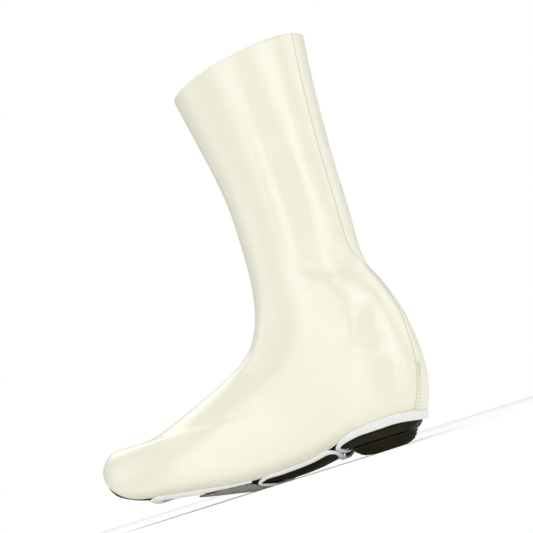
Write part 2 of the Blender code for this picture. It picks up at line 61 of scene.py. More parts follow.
# Sections of the upper from the lower edge to the collar: back and front point, the share of the lower
# edge's wave that it takes on, and its half width at six shares of its length
Section = namedtuple("Section", "name back_x back_z front_x front_z follow heel rear waist fore ball tip")
SECTIONS = (
    Section("edge", 10.2, 21.4, 285.0, 42.5, 1.00, 61.0, 40.5, 35.5, 46.0, 56.5, 64.0),
    Section("welt", 5.8, 32.0, 286.0, 48.5, 0.80, 65.5, 43.5, 38.3, 50.0, 61.0, 66.0),
    Section("toe_wall", 3.0, 42.0, 283.9, 56.8, 0.50, 66.0, 44.0, 38.8, 49.0, 59.5, 62.0),
    Section("toe_top", 1.7, 50.0, 274.8, 66.6, 0.25, 64.0, 43.7, 38.3, 45.5, 51.0, 50.0),
    Section("toe_box", 0.9, 58.0, 248.0, 67.0, 0.10, 61.0, 43.0, 37.8, 42.0, 48.0, 48.0),
    Section("ball", 0.8, 68.0, 215.0, 73.2, 0.03, 56.0, 42.0, 37.2, 39.3, 44.6, 49.0),
    Section("vamp", 1.4, 79.0, 184.0, 84.0, 0.00, 50.0, 40.6, 37.2, 38.3, 39.0, 43.0),
    Section("waist", 2.7, 91.5, 156.4, 94.8, 0.00, 44.6, 39.4, 36.8, 38.3, 37.5, 43.0),
    Section("instep", 5.1, 104.5, 138.2, 105.2, 0.00, 40.0, 38.0, 36.6, 38.3, 38.5, 45.0),
    Section("throat", 9.2, 118.0, 126.8, 117.8, 0.00, 35.4, 37.0, 36.5, 38.0, 38.5, 45.5),
    Section("counter", 14.3, 131.5, 120.2, 133.0, 0.00, 31.0, 35.4, 36.5, 38.0, 38.5, 42.5),
    Section("achilles", 20.3, 145.0, 116.4, 149.0, 0.00, 28.4, 34.5, 36.5, 38.0, 38.5, 40.5),
    Section("ankle", 22.6, 159.0, 114.4, 165.0, 0.00, 32.0, 36.2, 37.5, 38.5, 39.0, 39.5),
    Section("shin_low", 22.0, 185.0, 113.6, 188.0, 0.00, 38.5, 38.5, 38.5, 38.5, 38.5, 38.5),
    Section("shin", 21.3, 225.0, 114.0, 224.0, 0.00, 40.0, 40.0, 40.0, 40.0, 40.0, 40.0),
    Section("calf", 19.6, 272.0, 120.0, 266.0, 0.00, 44.0, 44.0, 44.0, 44.0, 44.0, 44.0),
    Section("calf_top", 16.2, 317.0, 127.2, 304.0, 0.00, 49.5, 49.5, 49.5, 49.5, 49.5, 49.5),
    Section("collar", 14.0, 337.0, 130.0, 319.0, 0.00, 52.0, 52.0, 52.0, 52.0, 52.0, 52.0),
)
WIDTH_SHARES = (0.0, 0.2, 0.4, 0.6, 0.8, 1.0)

# Height of the upper's lower edge along the shoe
Edge = namedtuple("Edge", "place x z")
EDGE = (
    Edge("heel_back", 10.2, 21.4),
    Edge("heel", 26.0, 24.2),
    Edge("heel_side", 45.0, 23.8),
    Edge("heel_front", 66.0, 20.8),
    Edge("arch_back", 80.0, 16.2),
    Edge("arch", 98.0, 11.6),
    Edge("waist", 125.0, 9.2),
    Edge("ball", 152.0, 8.9),
    Edge("forefoot", 190.0, 13.6),
    Edge("toe_side", 232.0, 19.4),
    Edge("toe", 262.0, 26.8),
    Edge("tip", 285.0, 42.5),
)

# The last's swing to the inner side along the shoe, fading out between two heights
Swing = namedtuple("Swing", "place x y")
SWING = (
    Swing("heel_back", 0.0, 0.0),
    Swing("heel_front", 60.0, 0.0),
    Swing("waist", 115.0, -2.5),
    Swing("ball", 195.0, -2.0),
    Swing("toe", 250.0, 2.0),
    Swing("tip", 284.5, 5.0),
)
SWING_FADE_LOW = 60.0
SWING_FADE_HIGH = 130.0

# Skin of the upper: wall, points and rows of its two faces, how far points move from its ends to its
# sides, the round of its rims, and how far and up to what height its lower edge is drawn in
WALL = 1.2
SKIN_POINTS = 300
SKIN_ROWS = 230
LINING_ROWS = 60
CROWDING = 0.25
RIM_ROUND = 0.35
HEM_TUCK = 0.7
HEM_REACH = 2.6

# Steps over which the directions of its surface are measured
TURN_STEP = 0.01
KNOT_STEP = 0.5

# Painted shade along its lower edge, a darker beige where the edge curves under: strength, height, and the
# places where it starts and is full
HEM_PAINTED_SHADE = 0.42
HEM_PAINTED_SHADE_REACH = 12.0
HEM_PAINTED_SHADE_REAR = 50.0
HEM_PAINTED_SHADE_FULL = 90.0

# Folds of the upper in side view. Lift is the height of a ridge, or less than nothing for a trough, and
# half width its reach to each side of the route. A route is a few places along the shoe and heights.
Fold = namedtuple("Fold", "place lift half_width route")
FOLDS = (
    Fold("shin_ridge", 0.5, 9.0, ((61, 322), (60, 282), (61, 240), (62, 196), (64, 160), (67, 126))),
    Fold("shin_hollow", -0.45, 9.0, ((48, 318), (49, 276), (49, 232), (50, 190), (52, 158))),
    Fold("calf_ridge", 0.30, 7.0, ((27, 318), (33, 288), (36, 254), (37, 214), (36, 180), (31, 168))),
    Fold("tendon_hollow", -1.3, 10.0, ((42, 163), (32, 152), (22, 141))),
    Fold("ankle_crease", -0.45, 7.0, ((72, 158), (53, 152), (34, 145))),
    Fold("ankle_roll", 1.1, 9.0, ((72, 147), (53, 141), (36, 134))),
    Fold("ankle_bulge", 1.0, 18.0, ((38, 136), (34, 130))),
    Fold("ankle_bone", 0.4, 10.0, ((71, 105), (73, 101))),
    Fold("ankle_arc", 0.9, 7.0, ((37, 106), (43, 93), (56, 83))),
    Fold("heel_triangle", -1.4, 11.0, ((24, 123), (29, 104), (33, 86))),
    Fold("seam_roll", 0.5, 6.0, ((16, 124), (13, 98), (12, 76))),
    Fold("heel_roll", 1.2, 7.0, ((44, 80), (29, 77), (14, 74))),
    Fold("heel_hollow", -0.6, 11.0, ((27, 66), (24, 44))),
    Fold("heel_nick", -0.35, 3.0, ((10, 70), (13, 55), (15, 41))),
    Fold("throat_roll", 0.6, 9.0, ((121, 113), (114, 119), (108, 121))),
    Fold("throat_hollow", -0.6, 13.0, ((108, 140), (102, 122), (106, 108))),
    Fold("instep_crease", 0.25, 6.0, ((146, 93), (124, 98), (110, 102))),
    Fold("instep_hollow", -0.25, 9.0, ((142, 86), (122, 90), (104, 95))),
    Fold("arch_hollow", -1.0, 26.0, ((166, 62), (156, 48), (148, 34))),
    Fold("toe_crease", -0.25, 1.8, ((276, 61), (262, 63), (246, 62.5))),
    Fold("toe_pucker_front", -0.4, 2.6, ((273, 36), (272, 44))),
    Fold("toe_pucker_rear", -0.35, 2.6, ((262, 32), (260, 39))),
)

# Points of a smooth route. A fold that is this many half widths long keeps a share of its lift at its tips
# and fades to it over a share of its length. A shorter one keeps more.
FOLD_SAMPLES = 20
FOLD_SLIM = 3.0
FOLD_TIP = 0.15
FOLD_END_FADE = 0.40

# The outer side has like folds, moved a little along the shoe and lower, because no two sides wear alike.
# At the middle of the shoe those of one side fade into those of the other.
Side = namedtuple("Side", "name sign shift_x shift_z share")
SIDES = (Side("inner", 1, 0.0, 0.0, 1.0), Side("outer", -1, 5.0, -6.0, 0.8))
SIDE_FADE = 9.0

# Tape over the back seam: its edges across the shoe at heights of the back line, its mesh, the lines of
# stitching along its edges, whose dull beige is painted shadow there, and the bar stitches that hold it at
# the heel
Tape = namedtuple("Tape", "place z inner_y outer_y")
TAPE = (
    Tape("heel_edge", 21.4, 17.4, -13.0),
    Tape("heel", 48.0, 14.3, -13.0),
    Tape("heel_top", 73.0, 9.4, -14.5),
    Tape("counter", 92.0, 6.6, -16.0),
    Tape("tendon_low", 108.0, 0.5, -18.0),
    Tape("tendon", 126.0, -3.0, -19.0),
    Tape("tendon_high", 141.0, -1.0, -18.5),
    Tape("ankle", 156.0, 9.5, -15.0),
    Tape("shin_low", 172.0, 13.4, -14.0),
    Tape("shin", 225.0, 14.4, -14.4),
    Tape("collar", 337.0, 14.6, -14.6),
)
TAPE_COLUMNS = 15
TAPE_ROWS = 200
TAPE_THICKNESS = 0.7
TAPE_SEAT = 0.05
TAPE_EDGE_POWER = 10
SEAM_WIDTH = 0.7
SEAM_RISE = 0.25
SEAM_SIDES = 8
STITCH_COUNT = 22
STITCH_FIRST = 1.5
STITCH_SECTIONS = 4
STITCH_LENGTH = 4.2
STITCH_MARGIN = 0.7
STITCH_WIDTH = 0.55
STITCH_RISE = 0.28
STITCH_TAPER = 0.12
STITCH_SWELL = 0.4
STITCH_STEPS = 5
STITCH_SIDES = 8

# Elastic bindings: thickness, how far they wrap the upper's edge and stand proud of it, their mesh, and
# their stations round the heel, along one side of the midfoot and of the forefoot, and across the sole
BINDING_THICKNESS = 2.0
BINDING_WRAP = 0.9
BINDING_PROUD = 0.5
BINDING_POINTS = 20
BINDING_SQUARE = 0.7
BINDING_SMOOTH = 6
HEEL_RUN = 19
MIDFOOT_RUN = 6
FOREFOOT_RUN = 9
CROSSING_SHARES = (0.0, 0.33, 0.67, 1.0)

# Width of a binding beside the sole and its lean under it, along the shoe
Band = namedtuple("Band", "place x width lean_deg")
BAND = (
    Band("heel_back", 10.2, 8.0, 10.0),
    Band("heel_side", 45.0, 7.5, 14.0),
    Band("heel_front", 72.0, 5.0, 28.0),
    Band("arch", 96.0, 4.2, 40.0),
    Band("ball_rear", 138.0, 3.8, 48.0),
    Band("ball", 156.0, 1.6, 48.0),
    Band("ball_front", 172.0, 2.8, 48.0),
    Band("forefoot", 200.0, 6.0, 48.0),
    Band("toe", 232.0, 6.0, 50.0),
)

# Where the bindings cross under the sole: place, lowest height and width there, place and width where they
# turn under it, reach from the sole's edge
Crossing = namedtuple("Crossing", "x low width corner_x corner_width reach")
HEEL_CROSSING = Crossing(78.8, 8.3, 6.0, 80.6, 4.4, 14.0)
ARCH_CROSSING = Crossing(84.6, 3.6, 6.0, 82.8, 4.0, 22.0)
BALL_CROSSING = Crossing(139.5, 0.2, 5.0, 148.0, 3.0, 14.0)
TOE_CROSSING = Crossing(236.0, 13.8, 6.5, 237.8, 6.0, 13.0)
CORNER_INSET = 5.0
CORNER_RISE = 0.50
CORNER_RUN = 6.8

# Slants of a binding at such a corner: its width inward and down, its face outward
CORNER_TUCK = 0.8
CORNER_DIP = 0.25
CORNER_FLARE = 0.5

# The binding of the forefoot starts here on each side, in front of the ball's corner
FOREFOOT_REAR = 153.0

# Web between the heel and arch openings, with the inset and narrowing of each step from an end to the middle
Web = namedtuple("Web", "rear_x front_x low thickness steps")
WebStep = namedtuple("WebStep", "inset trim")
ARCH_WEB = Web(80.2, 83.6, 6.0, 1.9, (WebStep(23.5, 0.5), WebStep(26.0, 0.0)))
WEB_STEPS = 14
WEB_POINTS = 24
WEB_SQUARE = 0.35
WEB_SHARP_DEG = 50

# Panel under the ball: one row for each section, with its lowest height and the inset and rise of its edge
Panel = namedtuple("Panel", "place x low inset rise")
PANEL = (
    Panel("rear", 143.0, 0.0, 13.5, 0.0),
    Panel("ball_rear", 147.0, 0.0, 10.5, 0.7),
    Panel("ball", 152.0, 0.0, 5.2, 4.8),
    Panel("ball_front", 158.0, 1.0, 4.7, 5.2),
    Panel("tread_rear", 166.0, 2.6, 4.7, 4.8),
    Panel("tread", 174.0, 4.1, 4.7, 4.2),
    Panel("tread_front", 187.0, 6.5, 6.5, 1.2),
    Panel("front", 200.0, 9.0, 13.0, 0.0),
)
PANEL_THICKNESS = 1.6
PANEL_FLAT = 15.0
PANEL_CURVE = 3.5
PANEL_STEP = 1.5
PANEL_RUN = 12
PANEL_SMOOTH = 2

# Sole: its flange inside the upper, and the height of its underside along the shoe
FLANGE_INSET = 2.4
FLANGE_RISE = 4.0
FLANGE_LIFT = 0.4
SHOULDER_DROP = 0.4
SIDE_RISE = 1.0
SIDE_DROP = 0.1
SOLE_STEP = 2.0
SOLE_SMOOTH = 2
SOLE_UNDER = 13
SOLE_UNDER_EASE = 5
SOLE_SHARP_DEG = 35
Belly = namedtuple("Belly", "place x z shoulder_inset side_inset")
BELLY = (
    Belly("heel_back", 10.2, 15.0, 5.0, 5.6),
    Belly("heel_bevel", 13.5, 12.6, 5.2, 5.5),
    Belly("heel_rear", 19.5, 9.35, 5.2, 5.5),
    Belly("heel_front", 75.0, 9.35, 5.2, 5.5),
    Belly("strap_heel", 76.0, 11.2, 5.2, 9.5),
    Belly("strap_arch", 89.0, 11.0, 5.2, 9.5),
    Belly("arch", 91.5, 5.4, 5.2, 9.5),
    Belly("arch_front", 109.0, 2.4, 5.2, 9.5),
    Belly("waist", 127.0, 1.0, 5.2, 9.5),
    Belly("strap_waist", 134.5, 2.7, 5.2, 9.5),
    Belly("ball_rear", 144.0, 3.7, 5.2, 9.5),
    Belly("ball", 153.0, 2.5, 5.2, 9.5),
    Belly("ball_front", 158.0, 3.1, 5.2, 9.5),
    Belly("tread", 174.0, 6.2, 5.2, 9.5),
    Belly("tread_front", 200.0, 11.1, 5.2, 9.5),
    Belly("forefoot", 216.0, 14.0, 5.2, 9.5),
    Belly("strap_rear", 229.0, 16.6, 5.2, 9.5),
    Belly("strap_front", 241.0, 17.0, 5.2, 9.0),
    Belly("toe_rear", 250.0, 20.0, 0.7, 3.5),
    Belly("toe", 262.0, 24.0, 0.7, 3.0),
    Belly("toe_spring", 272.0, 28.2, 0.6, 2.2),
    Belly("toe_front", 279.5, 33.2, 0.5, 1.8),
    Belly("tip", 285.0, 38.0, 0.2, 1.2),
)

# Heel pad: one row for each level of its side, with the grooves between its ribs
Pad = namedtuple("Pad", "level z back_x front_x half_width")
PAD = (
    Pad("floor", 0.0, 35.0, 58.0, 21.5),
    Pad("bevel", 1.4, 30.0, 65.5, 25.0),
    Pad("rib_1_low", 3.0, 26.8, 69.0, 26.0),
    Pad("groove_1", 3.5, 27.0, 69.3, 25.5),
    Pad("groove_1_top", 4.1, 26.5, 70.0, 25.5),
    Pad("rib_2_low", 4.6, 25.5, 71.0, 26.1),
    Pad("rib_2_high", 6.1, 24.4, 72.6, 26.2),
    Pad("groove_2", 6.6, 24.6, 72.7, 25.7),
    Pad("groove_2_top", 7.2, 24.2, 73.2, 25.7),
    Pad("rib_3_low", 7.7, 23.3, 74.2, 26.2),
    Pad("top", 9.3, 22.5, 74.8, 26.0),
)
PAD_POINTS = 120
PAD_SQUARE_BACK = 1.0
PAD_SQUARE_FRONT = 0.45
PAD_SQUARE_WIDE = 0.8
PAD_SHARP_DEG = 30

# Soft boxes of the studio: direction from the shoe, distance, size and brightness
Softbox = namedtuple("Softbox", "name azimuth elevation distance width height power")
SOFTBOXES = (
    Softbox("toe_side_box", 174.0, 12.0, 1.7, 0.9, 1.1, 5.9),
    Softbox("heel_side_box", 239.0, 12.0, 1.7, 0.9, 1.1, 6.3),
    Softbox("toe_front_box", 105.0, 20.0, 1.8, 1.0, 1.2, 4.4),
    Softbox("far_toe_box", 42.0, 50.0, 1.8, 1.2, 1.8, 10.0),
    Softbox("far_heel_box", 300.0, 22.0, 1.8, 1.0, 1.2, 5.5),
    Softbox("top_box", 180.0, 78.0, 1.7, 1.4, 1.4, 9.0),
)
ROOM_LIGHT = 0.33
FLOOR_SIZE = 3.0

# A wave texture of about this scale repeats once in a unit of length
WAVE_REPEAT = 2 / math.tau


def natural_spline(knots, values):
    """Smooth curve through the rows of a table, as a function of the knot."""
    knots = np.asarray(knots, float)
    values = np.asarray(values, float)
    gaps = np.diff(knots)
    count = len(knots)
    matrix = np.eye(count)
    right = np.zeros_like(values)
    for i in range(1, count - 1):
        matrix[i, i - 1:i + 2] = gaps[i - 1], 2 * (gaps[i - 1] + gaps[i]), gaps[i]
        right[i] = 6 * (values[i + 1] - values[i]) / gaps[i] - 6 * (values[i] - values[i - 1]) / gaps[i - 1]
    bends = np.linalg.solve(matrix, right)

    def at(knot):
        i = np.clip(np.searchsorted(knots, knot) - 1, 0, count - 2)
        high = (knot - knots[i]) / gaps[i]
        low = 1 - high
        curve = (low ** 3 - low) * bends[i] + (high ** 3 - high) * bends[i + 1]
        return low * values[i] + high * values[i + 1] + curve * gaps[i] ** 2 / 6

    return at


def section_knots():
    """Distance of each section from the lower edge, the mean of its back and front lines."""
    knots = [0.0]
    for low, high in zip(SECTIONS, SECTIONS[1:]):
        back = math.hypot(high.back_x - low.back_x, high.back_z - low.back_z)
        front = math.hypot(high.front_x - low.front_x, high.front_z - low.front_z)
        knots.append(knots[-1] + (back + front) / 2)
    return knots


KNOTS = section_knots()
SECTION_AT = natural_spline(KNOTS, [row[1:] for row in SECTIONS])
TAPE_EDGES = natural_spline([row.z for row in TAPE], [row[2:] for row in TAPE])
EDGE_HEIGHT = natural_spline([row.x for row in EDGE], [row.z for row in EDGE])
SWING_AT = natural_spline([row.x for row in SWING], [row.y for row in SWING])


def eased(share):
    """Soft step from 0 to 1."""
    share = np.clip(share, 0, 1)
    return share * share * (3 - 2 * share)


def edge_wave(x):
    """Height of the lower edge above the straight line between its ends."""
    rear, tip = EDGE[0], EDGE[-1]
    x = np.clip(x, rear.x, tip.x)
    straight = rear.z + (tip.z - rear.z) * (x - rear.x) / (tip.x - rear.x)
    return EDGE_HEIGHT(x) - straight


def swing(x, z):
    """Sideways place of the last's middle."""
    fade = eased((SWING_FADE_HIGH - z) / (SWING_FADE_HIGH - SWING_FADE_LOW))
    return SWING_AT(np.clip(x, SWING[0].x, SWING[-1].x)) * fade


def upper_loop(knot, turns):
    """Points around the upper's outer surface. A turn runs from the toe round by the inner side."""
    back_x, back_z, front_x, front_z, follow, *widths = SECTION_AT(knot)
    turns = np.asarray(turns, float)
    share = (1 + np.cos(turns)) / 2
    x = back_x + share * (front_x - back_x)
    z = back_z + share * (front_z - back_z) + follow * edge_wave(x)
    half_width = natural_spline(WIDTH_SHARES, widths)(share) * np.sin(turns)
    return np.stack([x, swing(x, z) + half_width, z], axis=-1)


def upper_normals(knot, turns):
    """Outward directions of the upper's surface at the points of a loop."""
    turns = np.asarray(turns, float)
    along = upper_loop(knot, turns + TURN_STEP) - upper_loop(knot, turns - TURN_STEP)
    low = max(knot - KNOT_STEP, 0.0)
    high = min(knot + KNOT_STEP, KNOTS[-1])
    up = upper_loop(high, turns) - upper_loop(low, turns)
    normals = np.cross(along, up)
    return normals / np.linalg.norm(normals, axis=-1, keepdims=True)


def smooth_route(route):
    """Even run of places along a smooth curve through a fold's route."""
    route = np.asarray(route, float)
    steps = np.linalg.norm(np.diff(route, axis=0), axis=1)
    knots = np.concatenate([[0.0], np.cumsum(steps)])
    samples = np.linspace(0, knots[-1], FOLD_SAMPLES)
    return np.stack([natural_spline(knots, route[:, i])(samples) for i in range(2)], axis=-1)


FOLD_ROUTES = [smooth_route(fold.route) for fold in FOLDS]


def fold_profile(places, route, half_width):
    """Share of a fold's lift at places in side view: full on its route, soft at its sides and ends."""
    nearest = np.full(len(places), np.inf)
    along = np.zeros(len(places))
    count = len(route) - 1
    for i in range(count):
        step = route[i + 1] - route[i]
        share = np.clip((places - route[i]) @ step / (step @ step), 0, 1)
        distance = np.linalg.norm(places - route[i] - share[:, None] * step, axis=1)
        closer = distance < nearest
        nearest[closer] = distance[closer]
        along[closer] = (i + share[closer]) / count
    across = np.clip(nearest / half_width, 0, 1)
    length = np.linalg.norm(np.diff(route, axis=0), axis=1).sum()
    slim = min(1.0, length / (FOLD_SLIM * half_width))
    tip = 1 - slim * (1 - FOLD_TIP)
    return (1 - across ** 2) ** 2 * (tip + (1 - tip) * eased(np.minimum(along, 1 - along) / FOLD_END_FADE))


def fold_lift(points):
    """How far the folds raise or sink points of the upper, along its outward direction."""
    lift = np.zeros(len(points))
    for side in SIDES:
        chosen = np.nonzero(points[:, 1] * side.sign > -SIDE_FADE)[0]
        places = points[chosen][:, [0, 2]] - (side.shift_x, side.shift_z)
        fade = eased(points[chosen, 1] * side.sign / SIDE_FADE + 0.5)
        for fold, route in zip(FOLDS, FOLD_ROUTES):
            lift[chosen] += fold.lift * side.share * fade * fold_profile(places, route, fold.half_width)
    return lift


def skin_loop(knot, turns, depth=0.0):
    """Points around the folded skin, at a depth under its outer face."""
    points = upper_loop(knot, turns)
    tuck = HEM_TUCK * (1 - eased(knot / HEM_REACH))
    return points + upper_normals(knot, turns) * (fold_lift(points) - tuck - depth)[:, None]


def placed(points):
    """Points of the tables in the scene's frame, in metres."""
    return (np.asarray(points, float) - (ORIGIN_X, 0, 0)) * MM


def ring_turns(count):
    """Even turns around a ring of points."""
    return np.arange(count) / count * math.tau


def squared(waves, power):
    """Sines or cosines of a ring, drawn from round towards square."""
    return np.sign(waves) * np.abs(waves) ** power


def loft_faces(rows, columns, rows_close=False):
    """Quads between rings of points, with the last ring joined to the first where the rows close."""
    below = np.arange(rows if rows_close else rows - 1)
    i, k = np.meshgrid(below, np.arange(columns), indexing="ij")
    above = (i + 1) % rows
    right = (k + 1) % columns
    corners = [i * columns + k, i * columns + right, above * columns + right, above * columns + k]
    return np.stack(corners, axis=-1).reshape(-1, 4).tolist()


def capped_loft(rows, columns):
    """Quads between rings of points, with a face over each end."""
    last = (rows - 1) * columns
    return loft_faces(rows, columns) + [list(range(columns)), list(range(last, last + columns))]


def grid_uv(grid):
    """Corners of a closed grid's quads as distances in millimetres along its rows and around them."""
    rows, columns = grid.shape[:2]
    along = np.linalg.norm(np.roll(grid, -1, axis=0) - grid, axis=2).mean(axis=1)
    around = np.linalg.norm(np.roll(grid, -1, axis=1) - grid, axis=2).mean(axis=0)
    u = np.concatenate([[0.0], np.cumsum(along)])
    v = np.concatenate([[0.0], np.cumsum(around)])
    i, k = np.meshgrid(np.arange(rows), np.arange(columns), indexing="ij")
    corners = [(u[i], v[k]), (u[i], v[k + 1]), (u[i + 1], v[k + 1]), (u[i + 1], v[k])]
    return np.stack([np.stack(corner, axis=-1) for corner in corners], axis=2).reshape(-1, 2)


def make_piece(name, points, faces, material, nodes=(), uv=None, sharp_deg=None):
    """Closed mesh piece from points of the tables, standing for CAD nodes where it names them."""
    mesh = bpy.data.meshes.new(name)
    mesh.from_pydata(placed(points).tolist(), [], faces)
    if uv is not None:
        mesh.uv_layers.new(name="cloth_mm").uv.foreach_set("vector", uv.ravel())
    shape = bmesh.new()
    shape.from_mesh(mesh)
    bmesh.ops.recalc_face_normals(shape, faces=shape.faces)
    shape.to_mesh(mesh)
    shape.free()
    mesh.shade_smooth()
    if sharp_deg is not None:
        mesh.set_sharp_from_angle(angle=math.radians(sharp_deg))
    mesh.materials.append(material)
    piece = bpy.data.objects.new(name, mesh)
    bpy.context.scene.collection.objects.link(piece)
    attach(piece, "root")
    if nodes:
        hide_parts(*nodes)


def make_run(name, rings, material, node, sharp_deg=None):
    """Piece from a run of rings with a face over each end."""
    faces = capped_loft(len(rings), len(rings[0]))
    make_piece(name, np.concatenate(rings), faces, material, [node], sharp_deg=sharp_deg)


def build_upper(material):
    """Skin with its folds, a lining face inside it and rounded rims at the collar and the lower edge."""
    turns = ring_turns(SKIN_POINTS)
    turns = turns + CROWDING * np.sin(2 * turns)
    top = KNOTS[-1]
    rows = [skin_loop(knot, turns) for knot in np.linspace(0, top, SKIN_ROWS)]
    lining = [skin_loop(knot, turns, WALL) for knot in np.linspace(top, 0, LINING_ROWS)]
    collar_rim = skin_loop(top, turns, WALL / 2) + (0, 0, RIM_ROUND)
    hem_rim = skin_loop(0.0, turns, WALL / 2) - (0, 0, RIM_ROUND)
    grid = np.stack(rows + [collar_rim] + lining + [hem_rim])
    faces = loft_faces(len(grid), SKIN_POINTS, True)
    make_piece("upper_skin", grid.reshape(-1, 3), faces, material, ["upper"],
               uv=grid_uv(grid))


def tape_edges(knot):
    """Places of the tape's inner and outer edge across the shoe."""
    back_z = SECTION_AT(knot)[1]
    return TAPE_EDGES(back_z)


def tape_turns(knot, places):
    """Turns of points beside the back seam at places across it."""
    heel_width = SECTION_AT(knot)[5]
    return math.pi - np.arcsin(np.asarray(places) / heel_width)


def tape_points(knot, places, height):
    """Points on the back seam at places across it and heights over the skin."""
    turns = tape_turns(knot, places)
    points = upper_loop(knot, turns)
    lift = fold_lift(points) + height
    return points + upper_normals(knot, turns) * lift[:, None]


def build_back_tape(material):
    """Tape with rounded edges on the folded skin."""
    shares = np.linspace(0, 1, TAPE_COLUMNS)
    crown = TAPE_THICKNESS * (1 - np.abs(2 * shares - 1) ** TAPE_EDGE_POWER)
    rows = []
    for knot in np.linspace(0, KNOTS[-1], TAPE_ROWS):
        inner, outer = tape_edges(knot)
        places = inner + shares * (outer - inner)
        over = tape_points(knot, places, TAPE_SEAT * 2 + crown)
        under = tape_points(knot, places[::-1], np.full(TAPE_COLUMNS, TAPE_SEAT))
        rows.append(np.concatenate([over, under]))
    make_run("back_seam_tape", rows, material, "back_tape")


def build_edge_shadow_threads(material):
    """Lines of stitching along both edges of the tape; their dull beige is painted shadow at the tape's edge.
    """
    turns = ring_turns(SEAM_SIDES)
    loft = capped_loft(TAPE_ROWS, SEAM_SIDES)
    points = []
    faces = []
    for edge in (0, 1):
        start = len(points) * SEAM_SIDES
        for knot in np.linspace(0, KNOTS[-1], TAPE_ROWS):
            places = tape_edges(knot)[edge] + np.cos(turns) * SEAM_WIDTH / 2
            points.append(tape_points(knot, places, TAPE_SEAT + np.sin(turns) * SEAM_RISE))
        faces.extend([start + corner for corner in face] for face in loft)
    make_piece("back_seam_thread_painted_shadow", np.concatenate(points), faces, material)


def stitch_rows(knot, side):
    """Rings of one bar stitch across an edge of the tape, slimmer towards each end."""
    edge = tape_edges(knot)[0 if side > 0 else 1] - side * STITCH_MARGIN
    places = np.linspace(edge, edge - side * STITCH_LENGTH, STITCH_STEPS)
    path = tape_points(knot, places, np.full(STITCH_STEPS, TAPE_SEAT * 2 + TAPE_THICKNESS))
    outward = upper_normals(knot, tape_turns(knot, places))
    along = np.gradient(path, axis=0)
    across = np.cross(outward, along)
    across = across / np.linalg.norm(across, axis=1, keepdims=True)
    swell = np.sin(np.linspace(STITCH_TAPER, math.pi - STITCH_TAPER, STITCH_STEPS)) ** STITCH_SWELL
    turns = ring_turns(STITCH_SIDES)
    rings = []
    for middle, wide, high, size in zip(path, across, outward, swell):
        ring = np.outer(np.cos(turns) * STITCH_WIDTH / 2 * size, wide)
        rings.append(middle + ring + np.outer(np.sin(turns) * STITCH_RISE * size, high))
    return rings


def build_heel_stitches(material):
    """Ladder of bar stitches down both edges of the tape at the heel."""
    points = []
    faces = []
    loft = capped_loft(STITCH_STEPS, STITCH_SIDES)
    for knot in np.linspace(KNOTS[0] + STITCH_FIRST, KNOTS[STITCH_SECTIONS], STITCH_COUNT):
        for side in (1, -1):
            start = len(points) * STITCH_SIDES
            points.extend(stitch_rows(knot, side))
            faces.extend([start + corner for corner in face] for face in loft)
    make_piece("heel_bar_stitches", np.concatenate(points), faces, material)


def edge_turn(x):
    """Turn of the lower edge's point at a place along the shoe, on the inner side."""
    share = (x - SECTIONS[0].back_x) / (SECTIONS[0].front_x - SECTIONS[0].back_x)
    return math.acos(max(-1.0, min(1.0, 2 * share - 1)))


def edge_frame(turn):
    """Point of the upper's lower edge and its level outward direction."""
    before, point, after = upper_loop(0.0, [turn - TURN_STEP, turn, turn + TURN_STEP])
    along = after - before
    return Vector(point), Vector((along[1], -along[0], 0.0)).normalized()


def inset_point(x, side, inset, z):
    """Point inside the lower edge at one side: 1 is the inner side of the foot, -1 the outer."""
    point, outward = edge_frame(side * edge_turn(x))
    inside = point - outward * inset
    return Vector((inside.x, inside.y, z))


# A station of a band: its middle, the half width across it, the half thickness outward
Station = namedtuple("Station", "middle across out")


def side_station(turn):
    """Station of a binding that wraps the upper's lower edge beside the sole."""
    edge, outward = edge_frame(turn)
    places = [row.x for row in BAND]
    width = float(np.interp(edge.x, places, [row.width for row in BAND]))
    lean = math.radians(float(np.interp(edge.x, places, [row.lean_deg for row in BAND])))
    across = -outward * math.sin(lean) - Vector((0, 0, 1)) * math.cos(lean)
    out = outward * math.cos(lean) - Vector((0, 0, 1)) * math.sin(lean)
    half_height = math.hypot(width / 2 * math.cos(lean), BINDING_THICKNESS / 2 * math.sin(lean))
    half_depth = math.hypot(width / 2 * math.sin(lean), BINDING_THICKNESS / 2 * math.cos(lean))
    middle = edge + outward * (BINDING_PROUD - half_depth)
    middle.z += BINDING_WRAP - half_height
    return Station(middle, across * width / 2, out * BINDING_THICKNESS / 2)


def corner_station(crossing, side, inward):
    """Station where a binding turns under the sole: inward is the opening's direction along the shoe."""
    edge, outward = edge_frame(side * edge_turn(crossing.corner_x))
    level = crossing.low + BINDING_THICKNESS / 2
    middle = edge - outward * CORNER_INSET
    middle.z = level + (edge.z - level) * CORNER_RISE
    across = (Vector((inward, 0, -CORNER_DIP)) - outward * CORNER_TUCK).normalized()
    out = (outward * CORNER_FLARE - Vector((0, 0, 1))).normalized()
    out = (out - across * out.dot(across)).normalized()
    return Station(middle, across * crossing.corner_width / 2, out * BINDING_THICKNESS / 2)


def crossing_stations(crossing, inward, first_side):
    """Stations of a binding across the underside, from one side to the other."""
    ends = []
    for side in (first_side, -first_side):
        ends.append(inset_point(crossing.x, side, crossing.reach, crossing.low + BINDING_THICKNESS / 2))
    across = Vector((inward * crossing.width / 2, 0, 0))
    out = Vector((0, 0, -BINDING_THICKNESS / 2))
    return [Station(ends[0].lerp(ends[1], share), across, out) for share in CROSSING_SHARES]


